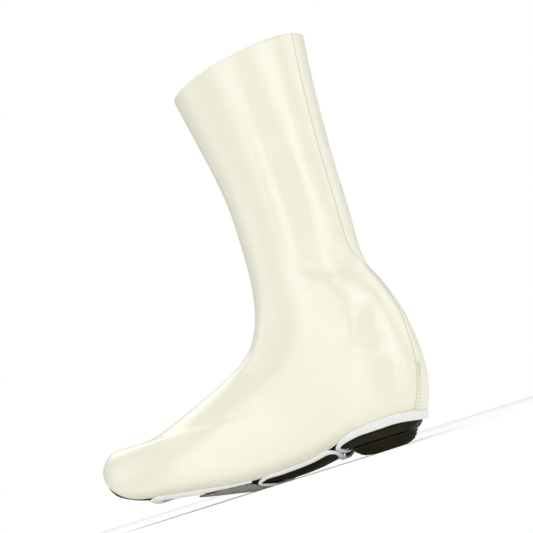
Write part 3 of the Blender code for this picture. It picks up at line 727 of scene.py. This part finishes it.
def smooth_stations(stations, closed):
    """A run of stations with smooth ones between them, closed on itself or with two ends."""
    count = len(stations)
    smoothed = []
    for i in range(count if closed else count - 1):
        around = [i - 1, i, i + 1, i + 2]
        around = [k % count if closed else min(max(k, 0), count - 1) for k in around]
        before, start, end, after = (stations[k] for k in around)
        for step in range(BINDING_SMOOTH):
            t = step / BINDING_SMOOTH
            parts = []
            for a, b, c, d in zip(before, start, end, after):
                parts.append(b + 0.5 * t * ((c - a) + t * ((2 * a - 5 * b + 4 * c - d)
                                                           + t * (3 * (b - c) + d - a))))
            smoothed.append(Station(*parts))
    return smoothed if closed else smoothed + [stations[-1]]


def band_grid(stations, count, square):
    """Rings of points around a run of stations, from round to square."""
    angles = (np.arange(count) + 0.5) / count * math.tau
    wide = squared(np.cos(angles), square)
    thick = squared(np.sin(angles), square)
    rings = []
    for station in stations:
        ring = np.outer(wide, station.across) + np.outer(thick, station.out)
        rings.append(np.asarray(station.middle) + ring)
    return np.stack(rings)


def build_binding(name, stations, material, node, closed=True):
    """Soft flat tube through a run of stations, closed on itself or with two ends."""
    grid = band_grid(smooth_stations(stations, closed), BINDING_POINTS, BINDING_SQUARE)
    faces = loft_faces(len(grid), BINDING_POINTS, True)
    uv = grid_uv(grid)
    if not closed:
        faces = capped_loft(len(grid), BINDING_POINTS)
        uv = np.concatenate([uv[:-4 * BINDING_POINTS], np.zeros((2 * BINDING_POINTS, 2))])
    make_piece(name, grid.reshape(-1, 3), faces, material, [node], uv=uv)


def build_heel_binding(material):
    front = edge_turn(HEEL_CROSSING.corner_x - CORNER_RUN)
    stations = [side_station(turn) for turn in np.linspace(front, math.tau - front, HEEL_RUN)]
    stations.append(corner_station(HEEL_CROSSING, -1, -1))
    stations.extend(crossing_stations(HEEL_CROSSING, -1, -1))
    stations.append(corner_station(HEEL_CROSSING, 1, -1))
    build_binding("heel_elastic", stations, material, "heel_binding")


def front_run(rear_x, front, runs):
    """Stations along the inner side, across the front of an opening and back along the outer side."""
    places = np.linspace(rear_x, front.corner_x - CORNER_RUN, runs)
    stations = [side_station(edge_turn(x)) for x in places]
    stations.append(corner_station(front, 1, -1))
    stations.extend(crossing_stations(front, -1, 1))
    stations.append(corner_station(front, -1, -1))
    stations.extend(side_station(-edge_turn(x)) for x in reversed(places))
    return stations


def build_midfoot_binding(material):
    stations = front_run(ARCH_CROSSING.corner_x + CORNER_RUN, BALL_CROSSING, MIDFOOT_RUN)
    stations.append(corner_station(ARCH_CROSSING, -1, 1))
    stations.extend(crossing_stations(ARCH_CROSSING, 1, -1))
    stations.append(corner_station(ARCH_CROSSING, 1, 1))
    build_binding("midfoot_elastic", stations, material, "midfoot_binding")


def build_forefoot_binding(material):
    stations = front_run(FOREFOOT_REAR, TOE_CROSSING, FOREFOOT_RUN)
    build_binding("forefoot_elastic", stations, material, "forefoot_binding", closed=False)


def web_stations(web):
    """Stations of a web from the inner side to the outer, with even steps between the table's rows."""
    rows = []
    for side, step in [(1, step) for step in web.steps] + [(-1, step) for step in reversed(web.steps)]:
        level = web.low + web.thickness / 2
        rear = inset_point(web.rear_x + step.trim, side, step.inset, level)
        rows.append((rear, inset_point(web.front_x - step.trim, side, step.inset, level)))
    stations = []
    for start, end in zip(rows, rows[1:]):
        for step in range(WEB_STEPS):
            stations.append([a.lerp(b, step / WEB_STEPS) for a, b in zip(start, end)])
    stations.append(rows[-1])
    out = Vector((0, 0, -web.thickness / 2))
    return [Station((rear + front) / 2, (front - rear) / 2, out) for rear, front in stations]


def build_arch_web(material):
    """Woven web under the sole."""
    grid = band_grid(web_stations(ARCH_WEB), WEB_POINTS, WEB_SQUARE)
    make_run("arch_webbing", grid, material, "arch_web", WEB_SHARP_DEG)


def table_stations(table, step, smooth):
    """Even steps along a table whose second column is the place along the shoe, with its corners eased."""
    rows = np.array([row[1:] for row in table])
    steps = round((rows[-1, 0] - rows[0, 0]) / step)
    x = np.linspace(rows[0, 0], rows[-1, 0], steps + 1)
    values = np.stack([np.interp(x, rows[:, 0], rows[:, i]) for i in range(1, rows.shape[1])], axis=-1)
    for _ in range(smooth):
        values[1:-1] = (values[:-2] + 2 * values[1:-1] + values[2:]) / 4
    return [(place, *row) for place, row in zip(x, values)]


def build_ball_panel(material):
    """Curved panel as sections across the shoe: the lower run from the inner edge, the upper run back."""
    rows = []
    shares = np.linspace(0, 1, PANEL_RUN)
    for x, low, inset, rise in table_stations(PANEL, PANEL_STEP, PANEL_SMOOTH):
        run = []
        for share in shares:
            level = low + rise * (1 - share) ** PANEL_CURVE
            run.append((inset + share * (PANEL_FLAT - inset), level))
        lower = [inset_point(x, 1, *step) for step in run]
        lower.extend(inset_point(x, -1, *step) for step in reversed(run))
        rows.append(lower + [point + Vector((0, 0, PANEL_THICKNESS)) for point in reversed(lower)])
    make_run("ball_webbing", rows, material, "ball_panel", WEB_SHARP_DEG)


def build_sole(material):
    """Sole as sections across the shoe: flange, shoulder, side and underside, then the top's middle."""
    rows = []
    for x, low, shoulder_inset, side_inset in table_stations(BELLY, SOLE_STEP, SOLE_SMOOTH):
        sides = []
        edge_z = float(EDGE_HEIGHT(x))
        side_z = min(low + SIDE_RISE, edge_z - SHOULDER_DROP - SIDE_DROP)
        for side in (1, -1):
            sides.append([
                inset_point(x, side, FLANGE_INSET, edge_z + FLANGE_RISE),
                inset_point(x, side, FLANGE_INSET, edge_z + FLANGE_LIFT),
                inset_point(x, side, shoulder_inset, edge_z - SHOULDER_DROP),
                inset_point(x, side, side_inset, side_z),
            ])
        inner, outer = sides
        shares = np.linspace(0, 1, SOLE_UNDER + 2)[1:-1]
        under = [inner[3].lerp(outer[3], share) for share in shares]
        for point, share in zip(under, shares):
            point.z = side_z + (low - side_z) * eased(min(share, 1 - share) * SOLE_UNDER_EASE)
        rows.append(inner + under + outer[::-1] + [inner[0].lerp(outer[0], 0.5)])
    make_run("sole_moulding", rows, material, "sole_plate", SOLE_SHARP_DEG)


def build_heel_pad(material):
    """Heel pad with the ribs and grooves of its side."""
    turns = ring_turns(PAD_POINTS)
    square = np.where(np.cos(turns) > 0, PAD_SQUARE_FRONT, PAD_SQUARE_BACK)
    long = squared(np.cos(turns), square)
    wide = squared(np.sin(turns), PAD_SQUARE_WIDE)
    rows = []
    for row in PAD:
        middle = (row.back_x + row.front_x) / 2
        x = middle + long * (row.front_x - middle)
        rows.append(np.stack([x, wide * row.half_width, np.full(PAD_POINTS, row.z)], axis=-1))
    make_run("heel_rubber_pad", rows, material, "heel_pad", PAD_SHARP_DEG)


def linear(colour):
    """Linear red, green, blue and alpha of an sRGB hex colour."""
    shares = [int(colour[i:i + 2], 16) / 255 for i in (1, 3, 5)]
    return tuple(s / 12.92 if s <= 0.04045 else ((s + 0.055) / 1.055) ** 2.4 for s in shares) + (1.0,)


def add_node(tree, kind, inputs=None, **settings):
    """Node with its settings. An input is a plain value, or another node's output to link."""
    node = tree.nodes.new(kind)
    for name, value in settings.items():
        setattr(node, name, value)
    for name, value in (inputs or {}).items():
        if isinstance(value, bpy.types.NodeSocket):
            tree.links.new(value, node.inputs[name])
        else:
            node.inputs[name].default_value = value
    return node


def new_material(name):
    """Empty material, its node tree and the coordinates that its patterns lie on."""
    material = bpy.data.materials.new(name)
    material.use_nodes = True
    tree = material.node_tree
    tree.nodes.clear()
    return material, tree, add_node(tree, "ShaderNodeTexCoord").outputs


def mottled(tree, vector, scale, detail, dark, light):
    """Tone that wanders between two colours, and the noise that it follows."""
    noise = add_node(tree, "ShaderNodeTexNoise", {"Vector": vector, "Scale": scale, "Detail": detail})
    tone = add_node(tree, "ShaderNodeMix", {
        "Factor": noise.outputs["Fac"], "A": linear(dark), "B": linear(light),
    }, data_type="RGBA")
    return tone.outputs["Result"], noise.outputs["Fac"]


def close_material(tree, inputs):
    """Shader of a material with its inputs, led to the output."""
    shader = add_node(tree, "ShaderNodeBsdfPrincipled", inputs)
    add_node(tree, "ShaderNodeOutputMaterial", {"Surface": shader.outputs["BSDF"]})


def per_metre(millimetres):
    """Texture scale at which a pattern repeats at this real size."""
    return 1 / (millimetres * MM)


def cream_coated_knit():
    # Polyamide and elastane knit under a pressed film: off-white, softly glossy, with the knit only just
    # showing through and slow changes of tone where it is stretched. A patchy darker beige along the lower
    # edge is painted shade, where the edge curves under. The knit's loops are about half a millimetre, drawn
    # at twice that so that they show.
    material, tree, coords = new_material("coated_polyamide_knit_pressed")
    place = coords["Object"]
    tone, _ = mottled(tree, place, per_metre(45), 2.0, "#EEECD6", "#F4F2DF")
    # Painted shade: a patchy darker beige over the lowest 12 mm of the skin, weak at the heel and full from
    # the arch forward
    rise = add_node(tree, "ShaderNodeSeparateXYZ", {"Vector": coords["UV"]}).outputs["X"]
    band = add_node(tree, "ShaderNodeMapRange", {
        "Value": rise, "From Min": 0.0, "From Max": HEM_PAINTED_SHADE_REACH, "To Min": HEM_PAINTED_SHADE, "To Max": 0.0,
    }, interpolation_type="SMOOTHERSTEP")
    along = add_node(tree, "ShaderNodeSeparateXYZ", {"Vector": place}).outputs["X"]
    forward = add_node(tree, "ShaderNodeMapRange", {
        "Value": along, "From Min": (HEM_PAINTED_SHADE_REAR - ORIGIN_X) * MM,
        "From Max": (HEM_PAINTED_SHADE_FULL - ORIGIN_X) * MM, "To Min": 0.2, "To Max": 1.0,
    }, interpolation_type="SMOOTHSTEP")
    shade_patches = add_node(tree, "ShaderNodeTexNoise", {"Vector": place, "Scale": per_metre(3), "Detail": 4.0})
    patchy_shade = add_node(tree, "ShaderNodeMapRange", {
        "Value": shade_patches.outputs["Fac"], "From Min": 0.3, "From Max": 0.7, "To Min": 0.75, "To Max": 1.0,
    })
    shade_spread = add_node(tree, "ShaderNodeMath", {
        0: forward.outputs["Result"], 1: patchy_shade.outputs["Result"],
    }, operation="MULTIPLY")
    painted_shade = add_node(tree, "ShaderNodeMath", {
        0: band.outputs["Result"], 1: shade_spread.outputs["Value"],
    }, operation="MULTIPLY")
    # Darker beige mixed in as the painted shade
    shaded_tone = add_node(tree, "ShaderNodeMix", {
        "Factor": painted_shade.outputs["Value"], "A": tone, "B": linear("#A9A28C"),
    }, data_type="RGBA")
    gloss = add_node(tree, "ShaderNodeTexNoise", {"Vector": place, "Scale": per_metre(18), "Detail": 3.0})
    rough = add_node(tree, "ShaderNodeMapRange", {
        "Value": gloss.outputs["Fac"], "From Min": 0.3, "From Max": 0.7, "To Min": 0.42, "To Max": 0.52,
    })
    film = add_node(tree, "ShaderNodeTexNoise", {"Vector": place, "Scale": per_metre(7), "Detail": 1.0})
    soft = add_node(tree, "ShaderNodeBump", {
        "Strength": 0.25, "Distance": 0.0002, "Height": film.outputs["Fac"],
    })
    knit = add_node(tree, "ShaderNodeTexVoronoi", {"Vector": place, "Scale": per_metre(1.0)})
    fine = add_node(tree, "ShaderNodeBump", {
        "Strength": 0.12, "Distance": 0.0001, "Height": knit.outputs["Distance"],
        "Normal": soft.outputs["Normal"],
    })
    close_material(tree, {
        "Base Color": shaded_tone.outputs["Result"], "Roughness": rough.outputs["Result"], "IOR": 1.5,
        "Coat Weight": 0.9, "Coat Roughness": 0.3, "Coat IOR": 1.65, "Normal": fine.outputs["Normal"],
        "Coat Normal": soft.outputs["Normal"],
    })
    return material


def cream_seam_tape():
    # Bonded polyurethane tape: the same off-white, smooth, with a faint grain across it, about 3.2 mm apart
    material, tree, coords = new_material("polyurethane_tape_bonded")
    place = coords["Object"]
    tone, slow = mottled(tree, place, per_metre(30), 2.0, "#EEECD7", "#F4F2E0")
    grain = add_node(tree, "ShaderNodeTexWave", {
        "Vector": place, "Scale": per_metre(3.2) * WAVE_REPEAT, "Distortion": 1.5, "Detail": 1.0,
    }, bands_direction="Z")
    bump = add_node(tree, "ShaderNodeBump", {
        "Strength": 0.10, "Distance": 0.0001, "Height": grain.outputs["Fac"],
    })
    rough = add_node(tree, "ShaderNodeMapRange", {
        "Value": slow, "From Min": 0.3, "From Max": 0.7, "To Min": 0.34, "To Max": 0.44,
    })
    close_material(tree, {
        "Base Color": tone, "Roughness": rough.outputs["Result"], "IOR": 1.5,
        "Normal": bump.outputs["Normal"],
    })
    return material


def polyester_thread_and_edge_shadow():
    # Spun polyester threads of the seam lines and bar stitches: dull beige, uneven where they are twisted.
    # On the bar stitches the beige is their own colour; along the tape's edges it is painted shadow.
    material, tree, coords = new_material("polyester_thread_spun_and_edge_shadow")
    tone, _ = mottled(tree, coords["Object"], per_metre(0.8), 1.0, "#CDCBB6", "#DCDAC7")
    close_material(tree, {"Base Color": tone, "Roughness": 0.6})
    return material


def pale_elastic():
    # Folded knitted elastic: neutral off-white, matt, with fine ribs across its length. The ribs are about
    # half a millimetre, drawn at 1.2 mm so that they show. The cloth's coordinates are in millimetres.
    material, tree, coords = new_material("polyamide_elastic_knitted")
    cloth = coords["UV"]
    rib = add_node(tree, "ShaderNodeTexWave", {"Vector": cloth, "Scale": WAVE_REPEAT / 1.2})
    tone, _ = mottled(tree, cloth, 1 / 9, 2.0, "#E9E9E8", "#F4F4F2")
    bump = add_node(tree, "ShaderNodeBump", {
        "Strength": 0.2, "Distance": 0.0001, "Height": rib.outputs["Fac"],
    })
    close_material(tree, {
        "Base Color": tone, "Roughness": 0.62, "Sheen Weight": 0.2,
        "Normal": bump.outputs["Normal"],
    })
    return material


def woven_webbing(name, dark, light):
    # Plain-woven polyester webbing: matt, with threads about a millimetre wide crossing each other
    material, tree, coords = new_material(name)
    place = coords["Object"]
    scale = per_metre(1.2) * WAVE_REPEAT
    warp = add_node(tree, "ShaderNodeTexWave", {"Vector": place, "Scale": scale}, bands_direction="X")
    weft = add_node(tree, "ShaderNodeTexWave", {"Vector": place, "Scale": scale}, bands_direction="Y")
    weave = add_node(tree, "ShaderNodeMath", {0: warp.outputs["Fac"], 1: weft.outputs["Fac"]},
                     operation="MULTIPLY")
    tone = add_node(tree, "ShaderNodeMix", {
        "Factor": weave.outputs["Value"], "A": linear(dark), "B": linear(light),
    }, data_type="RGBA")
    bump = add_node(tree, "ShaderNodeBump", {
        "Strength": 0.5, "Distance": 0.0003, "Height": weave.outputs["Value"],
    })
    close_material(tree, {
        "Base Color": tone.outputs["Result"], "Roughness": 0.8, "Normal": bump.outputs["Normal"],
    })
    return material


def black_sole_nylon():
    # Moulded glass-filled nylon: warm black, half matt, with the fine spark grain of its mould. The grain
    # is about 0.2 mm, drawn at 0.8 mm so that it shows.
    material, tree, coords = new_material("glass_filled_nylon_moulded")
    place = coords["Object"]
    grain = add_node(tree, "ShaderNodeTexNoise", {"Vector": place, "Scale": per_metre(0.8), "Detail": 2.0})
    tone, wear = mottled(tree, place, per_metre(14), 4.0, "#1A190C", "#2B2A18")
    rough = add_node(tree, "ShaderNodeMapRange", {
        "Value": wear, "From Min": 0.3, "From Max": 0.7, "To Min": 0.42, "To Max": 0.6,
    })
    bump = add_node(tree, "ShaderNodeBump", {
        "Strength": 0.3, "Distance": 0.0002, "Height": grain.outputs["Fac"],
    })
    close_material(tree, {
        "Base Color": tone, "Roughness": rough.outputs["Result"],
        "Specular IOR Level": 0.12, "Normal": bump.outputs["Normal"],
    })
    return material


def black_heel_rubber():
    # Moulded rubber: dull warm black with fine level lines round its side, about 1.1 mm apart
    material, tree, coords = new_material("styrene_rubber_moulded")
    place = coords["Object"]
    line = add_node(tree, "ShaderNodeTexWave", {
        "Vector": place, "Scale": per_metre(1.1) * WAVE_REPEAT,
    }, bands_direction="Z")
    tone, _ = mottled(tree, place, per_metre(6), 4.0, "#1A180B", "#2A2716")
    bump = add_node(tree, "ShaderNodeBump", {
        "Strength": 0.4, "Distance": 0.0002, "Height": line.outputs["Fac"],
    })
    close_material(tree, {
        "Base Color": tone, "Roughness": 0.66, "Specular IOR Level": 0.12,
        "Normal": bump.outputs["Normal"],
    })
    return material


def floor_paint():
    # Painted board: matt, even and pale, with a little light of its own so that it stays as white as the room
    material, tree, coords = new_material("white_board_painted")
    place = coords["Object"]
    tooth = add_node(tree, "ShaderNodeTexNoise", {"Vector": place, "Scale": per_metre(3), "Detail": 2.0})
    rough = add_node(tree, "ShaderNodeMapRange", {
        "Value": tooth.outputs["Fac"], "To Min": 0.85, "To Max": 0.95,
    })
    close_material(tree, {
        "Base Color": linear("#FCFCFC"), "Roughness": rough.outputs["Result"],
        "Specular IOR Level": 0.1, "Emission Color": linear("#FFFFFF"), "Emission Strength": 0.12,
    })
    return material


def build_floor():
    """Pale floor that the shoe stands on."""
    half = FLOOR_SIZE / 2
    mesh = bpy.data.meshes.new("floor")
    corners = [(-half, -half, 0), (half, -half, 0), (half, half, 0), (-half, half, 0)]
    mesh.from_pydata(corners, [], [(0, 1, 2, 3)])
    mesh.materials.append(floor_paint())
    floor = bpy.data.objects.new("floor", mesh)
    bpy.context.scene.collection.objects.link(floor)


def direction(azimuth, elevation):
    """Unit vector from the shoe towards a place in the studio, with azimuth 0 on the outer side."""
    azimuth, elevation = math.radians(azimuth), math.radians(elevation)
    level = math.cos(elevation)
    return Vector((math.sin(azimuth) * level, -math.cos(azimuth) * level, math.sin(elevation)))


def build_lights():
    """Soft boxes around and over the shoe, and an even white room that looks brighter than it lights."""
    for box in SOFTBOXES:
        lamp = bpy.data.lights.new(box.name, "AREA")
        lamp.shape = "RECTANGLE"
        lamp.size = box.width
        lamp.size_y = box.height
        lamp.energy = box.power
        light = bpy.data.objects.new(box.name, lamp)
        toward = direction(box.azimuth, box.elevation)
        light.location = Vector(CAMERA_TARGET) + toward * box.distance
        light.rotation_euler = toward.to_track_quat("Z", "Y").to_euler()
        light.visible_camera = False
        bpy.context.scene.collection.objects.link(light)
    world = bpy.data.worlds.new("white_room")
    world.use_nodes = True
    tree = world.node_tree
    tree.nodes.clear()
    seen = add_node(tree, "ShaderNodeLightPath").outputs["Is Camera Ray"]
    strength = add_node(tree, "ShaderNodeMapRange", {"Value": seen, "To Min": ROOM_LIGHT, "To Max": 1.0})
    room = add_node(tree, "ShaderNodeBackground", {
        "Color": linear("#FFFFFF"), "Strength": strength.outputs["Result"],
    })
    add_node(tree, "ShaderNodeOutputWorld", {"Surface": room.outputs["Background"]})
    bpy.context.scene.world = world


def build_camera():
    """Camera at the photograph's angle, just over the floor and rolled so that the toe hangs down."""
    lens = bpy.data.cameras.new("photo_camera")
    lens.lens = CAMERA_LENS
    lens.sensor_width = CAMERA_SENSOR
    camera = bpy.data.objects.new("photo_camera", lens)
    target = Vector(CAMERA_TARGET)
    place = target + direction(CAMERA_AZIMUTH, 0) * CAMERA_DISTANCE
    place.z = CAMERA_HEIGHT
    upright = (place - target).to_track_quat("Z", "Y").to_matrix().to_4x4()
    roll = Matrix.Rotation(math.radians(CAMERA_ROLL), 4, "Z")
    camera.matrix_world = Matrix.Translation(place) @ upright @ roll
    bpy.context.scene.collection.objects.link(camera)
    bpy.context.scene.camera = camera


def main():
    build_camera()
    build_lights()
    build_floor()
    build_upper(cream_coated_knit())
    build_back_tape(cream_seam_tape())
    # Dull beige threads: their own colour on the bar stitches, painted shadow along the tape's edges
    stitch_thread_and_edge_shadow = polyester_thread_and_edge_shadow()
    build_edge_shadow_threads(stitch_thread_and_edge_shadow)
    build_heel_stitches(stitch_thread_and_edge_shadow)
    elastic = pale_elastic()
    build_heel_binding(elastic)
    build_midfoot_binding(elastic)
    build_forefoot_binding(elastic)
    black = woven_webbing("polyester_webbing_black", "#141310", "#2A2823")
    # The ball panel's webbing is a pale fabric: its mid-grey is painted shade for its place under the shoe
    painted_shade_webbing = woven_webbing("polyester_webbing_painted_shade", "#84847D", "#B2B2AB")
    build_arch_web(black)
    build_ball_panel(painted_shade_webbing)
    build_sole(black_sole_nylon())
    build_heel_pad(black_heel_rubber())
    bpy.context.scene.view_settings.view_transform = "Standard"


main()
